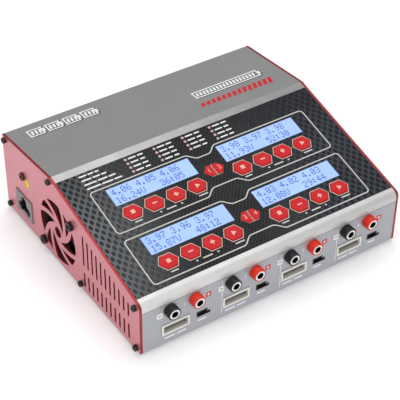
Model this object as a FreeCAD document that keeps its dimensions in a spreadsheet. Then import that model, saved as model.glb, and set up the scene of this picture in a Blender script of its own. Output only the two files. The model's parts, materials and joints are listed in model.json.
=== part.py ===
import FreeCAD, Part
import Sketcher
import math
import os

# Four-channel balance battery charger with a built-in mains supply.
# Millimetres. Row frame: +X to the right, +Y to the back, +Z up, origin under the
# middle of the bounding box, on the surface that the feet stand on.
# Most pieces are drawn in the housing's own frame: x from the middle, y from the
# front face towards the back, z from the underside of the base tray. Pieces of the
# control face are drawn on the slope: x, y up the slope from the ridge, z outwards.

DIMENSIONS = {
    # housing
    "body_width": 210.0,
    "depth": 182.0,
    "ridge_y": 113.5,
    "ridge_height": 68.8,
    "slope_angle": 13.69,
    "deck_angle": 5.3,
    "wall": 2.0,
    "plate": 2.0,
    "edge_radius": 4.5,
    "seam_z": 34.2,
    "seam_gap": 0.4,
    "foot_height": 2.5,
    "foot_radius": 6.0,
    "foot_inset": 16.0,
    "clearance": 0.15,
    "running": 0.05,
    # side plate screws
    "screw_radius": 1.5,
    "screw_head_radius": 2.25,
    "left_screw_head": 2.2,
    "right_screw_head": 0.9,
    "screw_reach": 9.0,
    "upper_port_radius": 3.6,
    "lower_port_radius": 2.8,
    "port_depth": 14.0,
    "port_spare": 2.0,
    "corner_inset": 5.0,
    "corner_drop": 3.65,
    "back_corner_inset": 4.2,
    "back_corner_drop": 2.45,
    "ridge_drop": 3.1,
    "lower_middle_y": 75.0,
    "lower_front_y": 4.2,
    "lower_z": 4.0,
    "lower_front_z": 3.2,
    "earth_from_back": 28.5,
    "earth_z": 43.8,
    "earth_radius": 1.9,
    "earth_head_radius": 3.0,
    "earth_head": 1.8,
    # fans and their grilles
    "fan_y": 105.3,
    "fan_z": 27.4,
    "fan_size": 50.0,
    "fan_thickness": 15.0,
    "fan_bore": 23.6,
    "fan_hole_spacing": 40.0,
    "fan_hole_radius": 2.2,
    "fan_screw_radius": 1.95,
    "fan_head_radius": 3.4,
    "fan_head": 2.8,
    "motor_mount": 2.0,
    "fan_spoke": 3.0,
    "bearing_length": 10.0,
    "hub_radius": 9.5,
    "hub_wall": 1.2,
    "hub_roof": 1.5,
    "hub_gap": 1.0,
    "blade_reach": 22.6,
    "blade_thickness": 1.1,
    "blade_root": 0.8,
    "blade_count": 7.0,
    "blade_pitch": 32.0,
    "axle_radius": 1.5,
    "grille_radius": 24.2,
    "grille_centre": 4.2,
    "vent_width": 1.9,
    "vent_pitch": 5.68,
    "vent_first_y": 13.5,
    "vent_low": 3.9,
    "vent_low_top": 16.9,
    "vent_high": 23.5,
    "vent_margin": 9.3,
    # mains inlet on the left plate
    "inlet_from_back": 27.5,
    "inlet_z": 16.75,
    "inlet_width": 23.0,
    "inlet_height": 18.5,
    "inlet_rim": 0.8,
    "inlet_flange": 1.3,
    "inlet_depth": 20.0,
    "inlet_cavity": 15.5,
    "inlet_lobe_drop": 2.6,
    "inlet_lobe": 3.7,
    "inlet_middle": 4.8,
    "inlet_pin_gap": 10.0,
    "inlet_pin_rise": 6.4,
    "inlet_pin_radius": 1.2,
    "pin_recess": 5.2,
    "pin_tail": 3.0,
    "contact_tail": 4.0,
    # low voltage input on the right plate
    "dc_width": 16.4,
    "dc_height": 8.6,
    "dc_flange": 2.2,
    "dc_wall": 1.3,
    "dc_depth": 16.0,
    "dc_floor": 3.0,
    "dc_pin_radius": 1.7,
    "dc_pin_gap": 7.2,
    # connectors of each channel on the front panel
    "channel_pitch": 47.2,
    "black_x": -82.4,
    "socket_pitch": 19.0,
    "socket_z": 28.8,
    "knob_radius": 4.8,
    "knob_stand": 6.5,
    "knob_bevel": 0.3,
    "neck_radius": 4.0,
    "sleeve_radius": 4.05,
    "sleeve_core": 3.0,
    "sleeve_set_back": 0.2,
    "sleeve_head": 5.0,
    "sleeve_tail": 14.0,
    "plug_radius": 2.0,
    "plug_depth": 16.0,
    "nut_width": 9.0,
    "nut_thickness": 2.5,
    "balance_x": -78.2,
    "balance_width": 21.0,
    "balance_height": 8.2,
    "balance_wall": 1.2,
    "balance_stand": 1.0,
    "balance_depth": 11.0,
    "balance_floor": 8.2,
    "balance_pins": 7.0,
    "pin_pitch": 2.5,
    "pin_size": 0.64,
    "lead_width": 4.0,
    "lead_thickness": 0.7,
    "temperature_x": -57.6,
    "temperature_width": 8.2,
    "temperature_height": 4.4,
    "temperature_key": 2.2,
    "temperature_wall": 0.55,
    "temperature_rise": 1.6,
    "temperature_stand": 0.3,
    # control face
    "film_top": 6.2,
    "film_length": 104.4,
    "film_thickness": 0.25,
    "lcd_left_x": -44.15,
    "lcd_right_x": 43.75,
    "lcd_top": 25.75,
    "row_pitch": 44.6,
    "lcd_width": 64.8,
    "lcd_height": 15.2,
    "lcd_margin": 0.5,
    "bezel_border": 1.6,
    "glass_thickness": 2.8,
    "key_left_x": -44.15,
    "key_right_x": 43.65,
    "key_pitch": 16.9,
    "key_gap": 3.6,
    "key_width": 14.3,
    "key_flat": 7.4,
    "key_height": 10.7,
    "key_stand": 0.9,
    "key_bevel": 0.4,
    "key_clearance": 0.3,
    "key_lip": 0.6,
    "key_lip_thickness": 0.8,
    "key_travel": 0.5,
    "stem_radius": 1.6,
    "twin_upper": 42.8,
    "twin_x": -0.5,
    "twin_width": 7.2,
    "twin_flat": 3.6,
    "twin_height": 9.2,
    "twin_gap": 1.2,
    # boards and what stands on them
    "board": 1.6,
    "display_drop": 9.5,
    "display_width": 168.0,
    "display_margin": 5.0,
    "switch_size": 6.0,
    "switch_height": 3.5,
    "standoff_radius": 2.5,
    "main_width": 160.0,
    "main_length": 68.0,
    "power_width": 150.0,
    "power_length": 84.0,
    "power_start": 90.0,
    "transformer_width": 38.0,
    "transformer_length": 34.0,
    "transformer_height": 30.0,
    "capacitor_radius": 9.0,
    "capacitor_height": 32.0,
    "sink_inset": 4.0,
    "board_inset": 6.0,
    "standoff_inset": 18.0,
    "inductor_inset": 15.0,
    "capacitor_gap": 4.0,
    "inductor_radius": 7.0,
    "inductor_height": 9.0,
    "sink_width": 56.0,
    "sink_height": 32.0,
    "sink_base": 2.5,
    "fin_length": 8.0,
    "fin_thickness": 1.2,
    "fin_count": 8.0,
}

CHANNELS = range(4)
SIDES = {"left": -1, "right": 1}
KEY_NAMES = ("stop", "down", "up", "start")
GRILLE_TURNS = (0, 90, 180, 270)
VENT_COLUMNS = range(11)
# How far a hexagon's tips and shoulders move along X as its outline grows by 1.
TIP_GROWTH = 1.2
SHOULDER_GROWTH = 0.6


class Formula:
    """A size worked out from the sheet: the text a property is bound to, and its value now."""

    def __init__(self, text, value):
        self.text = text
        self.value = value

    def join(self, sign, other, value, swapped=False):
        first, second = (other, self) if swapped else (self, other)
        return Formula(f"({first.text} {sign} {second.text})", value)

    def __add__(self, other):
        return self.join("+", size(other), self.value + size(other).value)

    def __radd__(self, other):
        return size(other) + self

    def __sub__(self, other):
        return self.join("-", size(other), self.value - size(other).value)

    def __rsub__(self, other):
        return size(other) - self

    def __mul__(self, other):
        return self.join("*", size(other), self.value * size(other).value)

    def __rmul__(self, other):
        return size(other) * self

    def __truediv__(self, other):
        return self.join("/", size(other), self.value / size(other).value)

    def __rtruediv__(self, other):
        return size(other) / self

    def __neg__(self):
        return 0 - self


def size(number):
    """A plain number as a formula; a formula stays as it is."""
    return number if isinstance(number, Formula) else Formula(f"({float(number)!r})", float(number))


def sine(angle):
    return Formula(f"sin({size(angle).text})", math.sin(math.radians(size(angle).value)))


def cosine(angle):
    return Formula(f"cos({size(angle).text})", math.cos(math.radians(size(angle).value)))


def tangent(angle):
    return Formula(f"tan({size(angle).text})", math.tan(math.radians(size(angle).value)))


class Sheet:
    """The driving dimensions, each read as sheet.name."""

    def __init__(self, document, dimensions):
        cells = document.addObject("Spreadsheet::Sheet", "Size")
        for row, (alias, value) in enumerate(dimensions.items(), 1):
            cells.set(f"A{row}", alias)
            cells.set(f"B{row}", str(value))
            cells.setAlias(f"B{row}", alias)
            setattr(self, alias, Formula(f"Size.{alias}", value))


doc = FreeCAD.newDocument("balance_charger")
s = Sheet(doc, DIMENSIONS)
doc.recompute()
NODES = {}


# ---- how solids are drawn -------------------------------------------------------------

def bind(thing, **formulas):
    """Bind properties of a document object; a double underscore stands for a dot."""
    for name, formula in formulas.items():
        thing.setExpression(name.replace("__", "."), size(formula).text)
    return thing


def move(thing, x=0, y=0, z=0):
    return bind(thing, Placement__Base__x=x, Placement__Base__y=y, Placement__Base__z=z)


def box(name, x, y, z, length, width, height):
    """A box from its lowest corner."""
    block = doc.addObject("Part::Box", name)
    bind(block, Length=length, Width=width, Height=height)
    return move(block, x, y, z)


TURNS = {"+X": ((0, 1, 0), 90), "-X": ((0, 1, 0), -90), "+Y": ((1, 0, 0), -90), "+Z": ((0, 0, 1), 0)}


def rod(name, along, x, y, z, radius, length):
    """A cylinder from the middle of its first end."""
    cylinder = doc.addObject("Part::Cylinder", name)
    axis, angle = TURNS[along]
    cylinder.Placement = FreeCAD.Placement(FreeCAD.Vector(), FreeCAD.Rotation(FreeCAD.Vector(*axis), angle))
    bind(cylinder, Radius=radius, Height=length)
    return move(cylinder, x, y, z)


def origin_plane(body, name):
    return next(item for item in body.Origin.OriginFeatures if item.Role == name + "_Plane")


def sketch(body, plane, name, outlines):
    """Closed outlines on one of the body's origin planes. An outline is a list of corner
    points, or ("circle", x, y, radius). A corner with four values starts an arc that
    turns counter-clockwise about the centre given by its last two."""
    drawing = body.newObject("Sketcher::SketchObject", name)
    drawing.AttachmentSupport = [(origin_plane(body, plane), "")]
    drawing.MapMode = "FlatFace"
    up = FreeCAD.Vector(0, 0, 1)

    def fix(kind, line, end, formula):
        index = drawing.addConstraint(Sketcher.Constraint(kind, line, end, size(formula).value))
        drawing.setExpression(f"Constraints[{index}]", size(formula).text)

    for outline in outlines:
        if outline[0] == "circle":
            x, y, radius = (size(item) for item in outline[1:])
            circle = Part.Circle(FreeCAD.Vector(x.value, y.value, 0), up, radius.value)
            line = drawing.addGeometry(circle)
            fix("DistanceX", line, 3, x)
            fix("DistanceY", line, 3, y)
            index = drawing.addConstraint(Sketcher.Constraint("Radius", line, radius.value))
            drawing.setExpression(f"Constraints[{index}]", radius.text)
            continue
        corners = [[size(item) for item in corner] for corner in outline]
        spots = [FreeCAD.Vector(corner[0].value, corner[1].value, 0) for corner in corners]
        lines = []
        for corner, start, end in zip(corners, spots, spots[1:] + spots[:1]):
            if len(corner) == 2:
                lines.append(drawing.addGeometry(Part.LineSegment(start, end)))
                continue
            centre = FreeCAD.Vector(corner[2].value, corner[3].value, 0)
            circle = Part.Circle(centre, up, (start - centre).Length)
            first, last = (math.atan2(spot.y - centre.y, spot.x - centre.x) for spot in (start, end))
            if last < first:
                last += 2 * math.pi
            lines.append(drawing.addGeometry(Part.ArcOfCircle(circle, first, last)))
        for line, following in zip(lines, lines[1:] + lines[:1]):
            drawing.addConstraint(Sketcher.Constraint("Coincident", line, 2, following, 1))
        for line, corner, start, end in zip(lines, corners, spots, spots[1:] + spots[:1]):
            fix("DistanceX", line, 1, corner[0])
            fix("DistanceY", line, 1, corner[1])
            if len(corner) == 4:
                level = abs(end.x - start.x) > abs(end.y - start.y)
                fix("DistanceY" if level else "DistanceX", line, 3, corner[3 if level else 2])
    return drawing


def prism(name, plane, start, length, outlines):
    """A PartDesign body: outlines on its YZ, XZ or XY plane, padded along +X, +Y or +Z
    from start."""
    body = doc.addObject("PartDesign::Body", name)
    drawing = sketch(body, plane, name + "_sketch", outlines)
    backwards = plane == "XZ"
    bind(drawing, AttachmentOffset__Base__z=-size(start) if backwards else start)
    pad = body.newObject("PartDesign::Pad", name + "_pad")
    pad.Profile = drawing
    pad.Reversed = backwards
    bind(pad, Length=length)
    body.Tip = pad
    return body


def edges_of(thing, wanted):
    """Names of the edges for which wanted(middle, direction) is true."""
    thing.recompute(True)
    names = []
    for number, edge in enumerate(thing.Shape.Edges, 1):
        first, last = edge.firstVertex().Point, edge.lastVertex().Point
        if wanted((first + last) / 2, last - first):
            names.append(f"Edge{number}")
    return names


def dress(body, kind, name, wanted, amount):
    """Round or bevel edges of a PartDesign body."""
    base = body.Tip
    edges = edges_of(base, wanted)
    feature = body.newObject("PartDesign::" + kind, name)
    feature.Base = (base, edges)
    bind(feature, **{"Radius" if kind == "Fillet" else "Size": amount})
    body.Tip = feature
    return body


def revolve(name, points):
    """A PartDesign body turned about the Y axis from points (radius, y)."""
    body = doc.addObject("PartDesign::Body", name)
    drawing = sketch(body, "XY", name + "_sketch", [points])
    turned = body.newObject("PartDesign::Revolution", name + "_turn")
    turned.Profile = drawing
    turned.ReferenceAxis = (drawing, ["V_Axis"])
    turned.Angle = 360
    body.Tip = turned
    return body


def group(name, pieces):
    pack = doc.addObject("Part::Compound", name)
    pack.Links = list(pieces)
    return pack


def joined(name, *pieces):
    fused = doc.addObject("Part::MultiFuse", name)
    fused.Shapes = list(pieces)
    return fused


def without(name, base, *tools):
    cut = doc.addObject("Part::Cut", name)
    cut.Base = base
    cut.Tool = tools[0] if len(tools) == 1 else group(name + "_tools", tools)
    return cut


def within(name, first, second):
    common = doc.addObject("Part::Common", name)
    common.Base = first
    common.Tool = second
    return common


def copy(name, thing):
    """A second use of a shape, at a place of its own."""
    link = doc.addObject("Part::Compound", name)
    link.Links = [thing]
    return link


def tilt(thing, y, z):
    """Lay a piece drawn on the slope at the ridge."""
    thing.Placement = FreeCAD.Placement(FreeCAD.Vector(), FreeCAD.Rotation(FreeCAD.Vector(1, 0, 0), 10))
    bind(thing, Placement__Rotation__Angle=s.slope_angle)
    return move(thing, 0, y, z)


def housing_node(label, thing):
    """Hand in a piece drawn in the housing's frame."""
    NODES[label] = thing
    thing.Label = label
    return move(thing, 0, front_y, s.foot_height)


def slope_node(label, thing):
    """Hand in a piece drawn on the slope."""
    NODES[label] = thing
    thing.Label = label
    return tilt(thing, front_y + s.ridge_y, s.foot_height + s.ridge_height)


# ---- places that several pieces share -------------------------------------------------

inside = s.body_width / 2 - s.plate
front_y = (s.knob_stand - s.depth) / 2
front_top_z = s.ridge_height - s.ridge_y * tangent(s.slope_angle)
back_top_z = s.ridge_height - (s.depth - s.ridge_y) * tangent(s.deck_angle)
UPPER_SCREWS = {
    "back": (s.depth - s.back_corner_inset, back_top_z - s.back_corner_drop),
    "middle": (s.ridge_y, s.ridge_height - s.ridge_drop),
    "front": (s.corner_inset, front_top_z - s.corner_drop),
}
LOWER_SCREWS = {
    "back": (s.depth - s.corner_inset, s.lower_z),
    "middle": (s.lower_middle_y, s.lower_z),
    "front": (s.lower_front_y, s.lower_front_z),
}
lcd_upper = s.lcd_top + s.lcd_height / 2
key_upper = lcd_upper + s.lcd_height / 2 + s.key_gap + s.key_height / 2
inlet_y = s.depth - s.inlet_from_back
earth_y = s.depth - s.earth_from_back


def profile(inset):
    """The housing's cross-section (y, z), moved inwards by inset on every side."""
    both = s.slope_angle + s.deck_angle
    ridge_shift = inset * (cosine(s.deck_angle) - cosine(s.slope_angle)) / sine(both)
    ridge_drop = inset * (sine(s.deck_angle) + sine(s.slope_angle)) / sine(both)
    back_drop = inset / cosine(s.deck_angle) - inset * tangent(s.deck_angle)
    front_drop = inset / cosine(s.slope_angle) - inset * tangent(s.slope_angle)
    return [
        (inset, inset),
        (s.depth - inset, inset),
        (s.depth - inset, back_top_z - back_drop),
        (s.ridge_y + ridge_shift, s.ridge_height - ridge_drop),
        (inset, front_top_z - front_drop),
    ]


def housing_block(name, inset, start, length, radius):
    """The cross-section as a block along X, with its front top edge rounded."""
    outline = profile(size(inset))
    block = prism(name, "YZ", start, length, [outline])
    y, z = (item.value for item in outline[-1])

    def front_top(middle, direction):
        return abs(middle.y - y) < 0.01 and abs(middle.z - z) < 0.01 and abs(direction.x) > 1

    return dress(block, "Fillet", name + "_edge", front_top, radius)


def slope_tool(name, thing):
    """A cutting tool drawn on the slope, laid in the housing's frame."""
    return tilt(copy(name, thing), s.ridge_y, s.ridge_height)


# ---- housing --------------------------------------------------------------------------

outer_block = housing_block("outer_block", 0, -inside, 2 * inside, s.edge_radius)
inner_block = housing_block("inner_block", s.wall, -inside - 1, 2 * inside + 2, s.edge_radius - s.wall)
skin = without("skin", outer_block, inner_block)


def ports(name, screws, radius):
    """Bosses along the corners that the side plates' screws enter."""
    bosses = []
    holes = []
    for place, (y, z) in screws.items():
        for side, sign in SIDES.items():
            end = -inside if sign < 0 else inside - s.port_depth
            reach = s.screw_reach + s.port_spare
            mouth = end if sign < 0 else inside - reach
            bosses.append(rod(f"{name}_{place}_{side}", "+X", end, y, z, radius, s.port_depth))
            holes.append(rod(f"{name}_{place}_{side}_hole", "+X", mouth, y, z, s.screw_radius, reach))
    return group(name + "_bosses", bosses), group(name + "_holes", holes)


# The deck, the sloping control face, the rounded lip and the upper back wall, in one piece.
upper_room = box("upper_room", -inside, 0, s.seam_z + s.seam_gap, 2 * inside, s.depth, s.ridge_height)
upper_bosses, upper_holes = ports("upper_port", UPPER_SCREWS, s.upper_port_radius)
upper_blank = joined(
    "upper_blank",
    within("upper_skin", skin, upper_room),
    within("upper_corner_bosses", upper_bosses, outer_block),
)


def hexagon(x, y, width, flat, height, grow=0):
    """A key's outline, with its points to the left and right."""
    half = size(width) / 2 + grow * TIP_GROWTH
    shoulder = size(flat) / 2 + grow * SHOULDER_GROWTH
    rise = size(height) / 2 + grow
    return [(x - half, y), (x - shoulder, y - rise), (x + shoulder, y - rise),
            (x + half, y), (x + shoulder, y + rise), (x - shoulder, y + rise)]


def half_hexagon(x, y, side, grow, inner_grow):
    """One of a twin pair: side -1 has its corners to the left, +1 to the right."""
    inner = x + side * (s.twin_gap / 2 - inner_grow)
    corner = x + side * (s.twin_gap / 2 + s.twin_flat + grow * SHOULDER_GROWTH)
    tip = x + side * (s.twin_gap / 2 + s.twin_width + grow * TIP_GROWTH)
    rise = s.twin_height / 2 + grow
    points = [(inner, y - rise), (corner, y - rise), (tip, y), (corner, y + rise), (inner, y + rise)]
    return points if side > 0 else points[::-1]


def key_places():
    """Every key: its name, a function that draws its outline grown by a margin, its middle.
    The straight edges between twin keys grow by a margin of their own."""
    for channel in CHANNELS:
        row, column = divmod(channel, 2)
        middle = s.key_right_x if column else s.key_left_x
        level = -(key_upper + row * s.row_pitch)
        for number, word in enumerate(KEY_NAMES):
            x = middle + (number - 1.5) * s.key_pitch

            def outline(grow, between, x=x, y=level):
                return hexagon(x, y, s.key_width, s.key_flat, s.key_height, grow)

            yield f"channel_{channel + 1}_{word}_key", outline, x, level
        side = 1 if column else -1
        twin = -(s.twin_upper + row * s.row_pitch)

        def outline(grow, between, y=twin, side=side):
            return half_hexagon(s.twin_x, y, side, grow, between)

        yield f"channel_{channel + 1}_select_key", outline, s.twin_x + side * s.twin_width / 2, twin


def lcd_places():
    for channel in CHANNELS:
        row, column = divmod(channel, 2)
        yield channel, (s.lcd_right_x if column else s.lcd_left_x), -(lcd_upper + row * s.row_pitch)


def rectangle(x, y, width, height):
    """A rectangle from its middle."""
    x, y, half, rise = size(x), size(y), size(width) / 2, size(height) / 2
    return [(x - half, y - rise), (x + half, y - rise), (x + half, y + rise), (x - half, y + rise)]


def slope_openings(name, start, length, lcd_grow, key_grow):
    """Windows and key holes as one tool on the slope, through the given depths."""
    outlines = [rectangle(x, y, s.lcd_width + 2 * lcd_grow, s.lcd_height + 2 * lcd_grow)
                for channel, x, y in lcd_places()]
    outlines += [outline(key_grow, key_grow) for key, outline, x, y in key_places()]
    return group(name, [prism(f"{name}_{number}", "XY", start, length, [outline])
                        for number, outline in enumerate(outlines)])


cover_openings = slope_tool(
    "cover_openings_tool",
    slope_openings("cover_openings", -s.wall - 1, s.wall + 2, s.lcd_margin, s.key_clearance),
)
housing_node("top_cover", without("top_cover", upper_blank, upper_holes, cover_openings))

# The floor and the lower back wall, bent from one sheet.
lower_room = box("lower_room", -inside, 0, 0, 2 * inside, s.depth, s.seam_z)
panel_room = box("panel_room", -inside - 1, -1, s.wall, 2 * inside + 2, s.wall + 1 + s.clearance, s.seam_z)
lower_bosses, lower_holes = ports("lower_port", LOWER_SCREWS, s.lower_port_radius)
lower_blank = joined(
    "lower_blank",
    within("lower_skin", skin, lower_room),
    within("lower_corner_bosses", lower_bosses, outer_block),
)
housing_node("base_tray", without("base_tray", lower_blank, lower_holes, panel_room))

feet = []
for x in (s.foot_inset - inside, inside - s.foot_inset):
    for y in (s.foot_inset, s.depth - s.foot_inset):
        feet.append(rod(f"foot_{len(feet)}", "+Z", x, y, -s.foot_height, s.foot_radius, s.foot_height))
housing_node("feet", group("feet", feet))


# ---- side plates ----------------------------------------------------------------------

def swirl(name, angles, mid_out, mid_in, tip):
    """One curved grille slot: an outer arc between two angles, whose sides bend to a tip.
    Angles are in degrees; each point is (share of the grille's radius, angle) about the
    fan's axis, with the angle measured from the front towards the top."""

    def spot(share, angle):
        turn = math.radians(angle)
        distance = share * s.grille_radius.value
        return FreeCAD.Vector(0, -distance * math.cos(turn), distance * math.sin(turn))

    start, middle, end = (spot(1, angle) for angle in (angles[0], sum(angles) / 2, angles[1]))
    edges = [
        Part.Arc(start, middle, end).toShape(),
        Part.Arc(end, spot(*mid_in), spot(*tip)).toShape(),
        Part.Arc(spot(*tip), spot(*mid_out), start).toShape(),
    ]
    face = Part.Face(Part.Wire(edges))
    slot = doc.addObject("Part::Feature", name)
    slot.Shape = face.extrude(FreeCAD.Vector(s.plate.value + 2, 0, 0))
    return slot


def turned_slots(name, slot):
    """The slot and its three copies round the fan's axis."""
    copies = []
    for turn in GRILLE_TURNS:
        one = copy(f"{name}_{turn}", slot)
        one.Placement = FreeCAD.Placement(
            FreeCAD.Vector(), FreeCAD.Rotation(FreeCAD.Vector(1, 0, 0), turn))
        copies.append(one)
    return copies


broad_slot = swirl("broad_slot", (82, 124.5), (0.66, 64), (0.62, 98.5), (0.3, 22))
narrow_slot = swirl("narrow_slot", (136.5, 159), (0.74, 123.5), (0.66, 136), (0.49, 108))
swirl_slots = turned_slots("broad", broad_slot) + turned_slots("narrow", narrow_slot)
grille_eye = rod("grille_eye", "+X", 0, 0, 0, s.grille_centre, s.plate + 2)


def slot_outline(y, low, high):
    """A vertical slot with round ends."""
    half = s.vent_width / 2
    return [
        (y - half, low + half, y, low + half),
        (y + half, low + half),
        (y + half, high - half, y, high - half),
        (y - half, high - half),
    ]


vent_rows = []
for column in VENT_COLUMNS:
    vent_y = s.vent_first_y + column * s.vent_pitch
    vent_rows.append(slot_outline(vent_y, s.vent_low, s.vent_low_top))
    roof = front_top_z + vent_y * tangent(s.slope_angle) - s.vent_margin
    vent_rows.append(slot_outline(vent_y, s.vent_high, roof))
vents = prism("vents", "YZ", 0, s.plate + 2, vent_rows)
FAN_CORNERS = {"upper": (-1, 1), "lower": (1, -1)}


def fan_corner(corner):
    y_sign, z_sign = corner
    half = s.fan_hole_spacing / 2
    return s.fan_y + y_sign * half, s.fan_z + z_sign * half


def side_plate(side, extra):
    """A flat plate over one end of the housing, with grille, vents and screw holes."""
    sign = SIDES[side]
    start = -inside - s.plate if sign < 0 else inside
    reach = s.plate + 2
    blank = housing_block(f"{side}_blank", 0, start, s.plate, s.edge_radius)
    grille = group(f"{side}_grille", swirl_slots + [grille_eye])
    move(grille, start - 1, s.fan_y, s.fan_z)
    slots = move(copy(f"{side}_vents", vents), start - 1)
    holes = [grille, slots] + extra(start - 1, reach)
    for row, screws in (("upper", UPPER_SCREWS), ("lower", LOWER_SCREWS)):
        for place, (y, z) in screws.items():
            name = f"{side}_{row}_{place}_clear"
            holes.append(rod(name, "+X", start - 1, y, z, s.screw_radius + s.clearance, reach))
    for place, corner in FAN_CORNERS.items():
        y, z = fan_corner(corner)
        holes.append(rod(f"{side}_fan_{place}_clear", "+X", start - 1, y, z, s.fan_hole_radius, reach))
    return housing_node(f"{side}_side_plate", without(f"{side}_side_plate", blank, *holes))


def inlet_window(start, reach):
    """The left plate's openings: the mains inlet's and the earth screw's."""
    gap = 2 * s.clearance
    outline = rectangle(inlet_y, s.inlet_z, s.inlet_width - 2 * s.inlet_flange + gap,
                        s.inlet_height - 2 * s.inlet_flange + gap)
    window = prism("inlet_window", "YZ", start, reach, [outline])
    earth = rod("earth_clear", "+X", start, earth_y, s.earth_z, s.earth_radius + s.clearance, reach)
    return [window, earth]


def dc_window(start, reach):
    """The right plate's opening for the low voltage input."""
    gap = 2 * s.clearance
    outline = rectangle(inlet_y, s.inlet_z, s.dc_width + gap, s.dc_height + gap)
    return [prism("dc_window", "YZ", start, reach, [outline])]


side_plate("left", inlet_window)
side_plate("right", dc_window)


def hexagon_prism(name, plane, x, y, flats, start, length):
    """A hexagonal prism or socket, by its width across flats."""
    radius = size(flats) / 2 / cosine(30)
    points = [(x + radius * cosine(turn), y + radius * sine(turn)) for turn in range(0, 360, 60)]
    return prism(name, plane, start, length, [points])


def cap_screw(name, side, y, z, shank, head_radius, head, reach):
    """A socket cap screw that enters a side plate from outside."""
    sign = SIDES[side]
    face = s.body_width / 2
    head_x = -face - head if sign < 0 else face
    shank_x = -face - head / 2 if sign < 0 else face - reach
    key_x = -face - head - 1 if sign < 0 else face + head / 2
    solid = joined(
        name + "_solid",
        rod(name + "_head", "+X", head_x, y, z, head_radius, head),
        rod(name + "_shank", "+X", shank_x, y, z, shank, reach + head / 2),
    )
    socket = hexagon_prism(name + "_key", "YZ", y, z, head_radius, key_x, head / 2 + 1)
    return without(name, solid, socket)


for side, head in (("left", s.left_screw_head), ("right", s.right_screw_head)):
    screws = []
    for row, places in (("upper", UPPER_SCREWS), ("lower", LOWER_SCREWS)):
        for place, (y, z) in places.items():
            screws.append(cap_screw(f"{side}_{row}_{place}_screw", side, y, z, s.screw_radius - s.clearance,
                                    s.screw_head_radius, head, s.screw_reach))
    housing_node(f"{side}_plate_screws", group(f"{side}_plate_screws", screws))
    fan_screws = []
    for place, corner in FAN_CORNERS.items():
        y, z = fan_corner(corner)
        fan_screws.append(cap_screw(f"{side}_fan_{place}_screw", side, y, z, s.fan_screw_radius,
                                    s.fan_head_radius, s.fan_head, s.plate + s.fan_thickness - 1))
    housing_node(f"{side}_fan_screws", group(f"{side}_fan_screws", fan_screws))
housing_node("earth_screw", cap_screw("earth_screw", "left", earth_y, s.earth_z, s.earth_radius,
                                      s.earth_head_radius, s.earth_head, s.screw_reach))


# ---- fans -----------------------------------------------------------------------------

def fan(side):
    """A square fan frame against the side plate, and its rotor."""
    sign = SIDES[side]
    start = -inside if sign < 0 else inside - s.fan_thickness
    corners = [("circle", s.fan_y + a * s.fan_hole_spacing / 2, s.fan_z + b * s.fan_hole_spacing / 2,
                s.fan_hole_radius) for a in (-1, 1) for b in (-1, 1)]
    square = rectangle(s.fan_y, s.fan_z, s.fan_size, s.fan_size)
    ring = prism(f"{side}_fan_ring", "YZ", start, s.fan_thickness,
                 [square, ("circle", s.fan_y, s.fan_z, s.fan_bore)] + corners)
    back = inside - s.fan_thickness
    motor_x = -back - s.motor_mount if sign < 0 else back
    hub = rod(f"{side}_motor_mount", "+X", motor_x, s.fan_y, s.fan_z, s.hub_radius, s.motor_mount)
    span = 2 * s.fan_bore + 2
    across = box(f"{side}_spoke_across", motor_x, s.fan_y - span / 2, s.fan_z - s.fan_spoke / 2,
                 s.motor_mount, span, s.fan_spoke)
    upright = box(f"{side}_spoke_upright", motor_x, s.fan_y - s.fan_spoke / 2, s.fan_z - span / 2,
                  s.motor_mount, s.fan_spoke, span)
    tube_x = -back - s.bearing_length if sign < 0 else back
    bearing = rod(f"{side}_bearing", "+X", tube_x, s.fan_y, s.fan_z, 2 * s.axle_radius, s.bearing_length)
    bore = rod(f"{side}_bearing_bore", "+X", tube_x - 1, s.fan_y, s.fan_z, s.axle_radius + s.running,
               s.bearing_length + 2)
    frame = joined(f"{side}_fan_solid", ring, hub, across, upright, bearing)
    housing_node(f"{side}_fan_frame", without(f"{side}_fan_frame", frame, bore))

    cup_length = s.fan_thickness - s.motor_mount - s.hub_gap - s.hub_roof
    cup_x = -back - s.motor_mount - s.hub_gap - cup_length if sign < 0 else back + s.motor_mount + s.hub_gap
    room_x = cup_x + s.hub_roof if sign < 0 else cup_x - 1
    axle_length = cup_length + s.motor_mount + s.hub_gap / 2
    axle_x = cup_x if sign < 0 else back + s.hub_gap / 2
    cup = joined(
        f"{side}_cup",
        without(f"{side}_cup_wall",
                rod(f"{side}_cup_outside", "+X", cup_x, 0, 0, s.hub_radius, cup_length),
                rod(f"{side}_cup_room", "+X", room_x, 0, 0, s.hub_radius - s.hub_wall,
                    cup_length - s.hub_roof + 1)),
        rod(f"{side}_axle", "+X", axle_x, 0, 0, s.axle_radius, axle_length),
    )
    chord = cup_length - 2 * s.blade_root
    blade = box(f"{side}_blade", -s.blade_thickness / 2, 0, -chord / 2, s.blade_thickness,
                s.blade_reach - s.hub_radius + s.blade_root, chord)
    blades = []
    count = int(s.blade_count.value)
    for number in range(count):
        one = copy(f"{side}_blade_{number}", blade)
        pitch = FreeCAD.Rotation(FreeCAD.Vector(0, 1, 0), 90 + s.blade_pitch.value * sign)
        spin = FreeCAD.Rotation(FreeCAD.Vector(1, 0, 0), number * 360 / count)
        out = spin.multVec(FreeCAD.Vector(0, (s.hub_radius - s.blade_root).value, 0))
        middle = (cup_x + cup_length / 2).value
        one.Placement = FreeCAD.Placement(FreeCAD.Vector(middle, out.y, out.z), spin.multiply(pitch))
        blades.append(one)
    rotor = copy(f"{side}_fan_rotor", move(joined(f"{side}_rotor_solid", cup, *blades), 0, s.fan_y, s.fan_z))
    housing_node(f"{side}_fan_rotor", rotor)


for side in SIDES:
    fan(side)


# ---- inlets ---------------------------------------------------------------------------

inlet_face = -s.body_width / 2 - s.inlet_rim
inlet_low_z = s.inlet_z - s.inlet_lobe_drop
INLET_PINS = {"left": (-0.5, 0), "right": (0.5, 0), "earth": (0, 1)}


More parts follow.
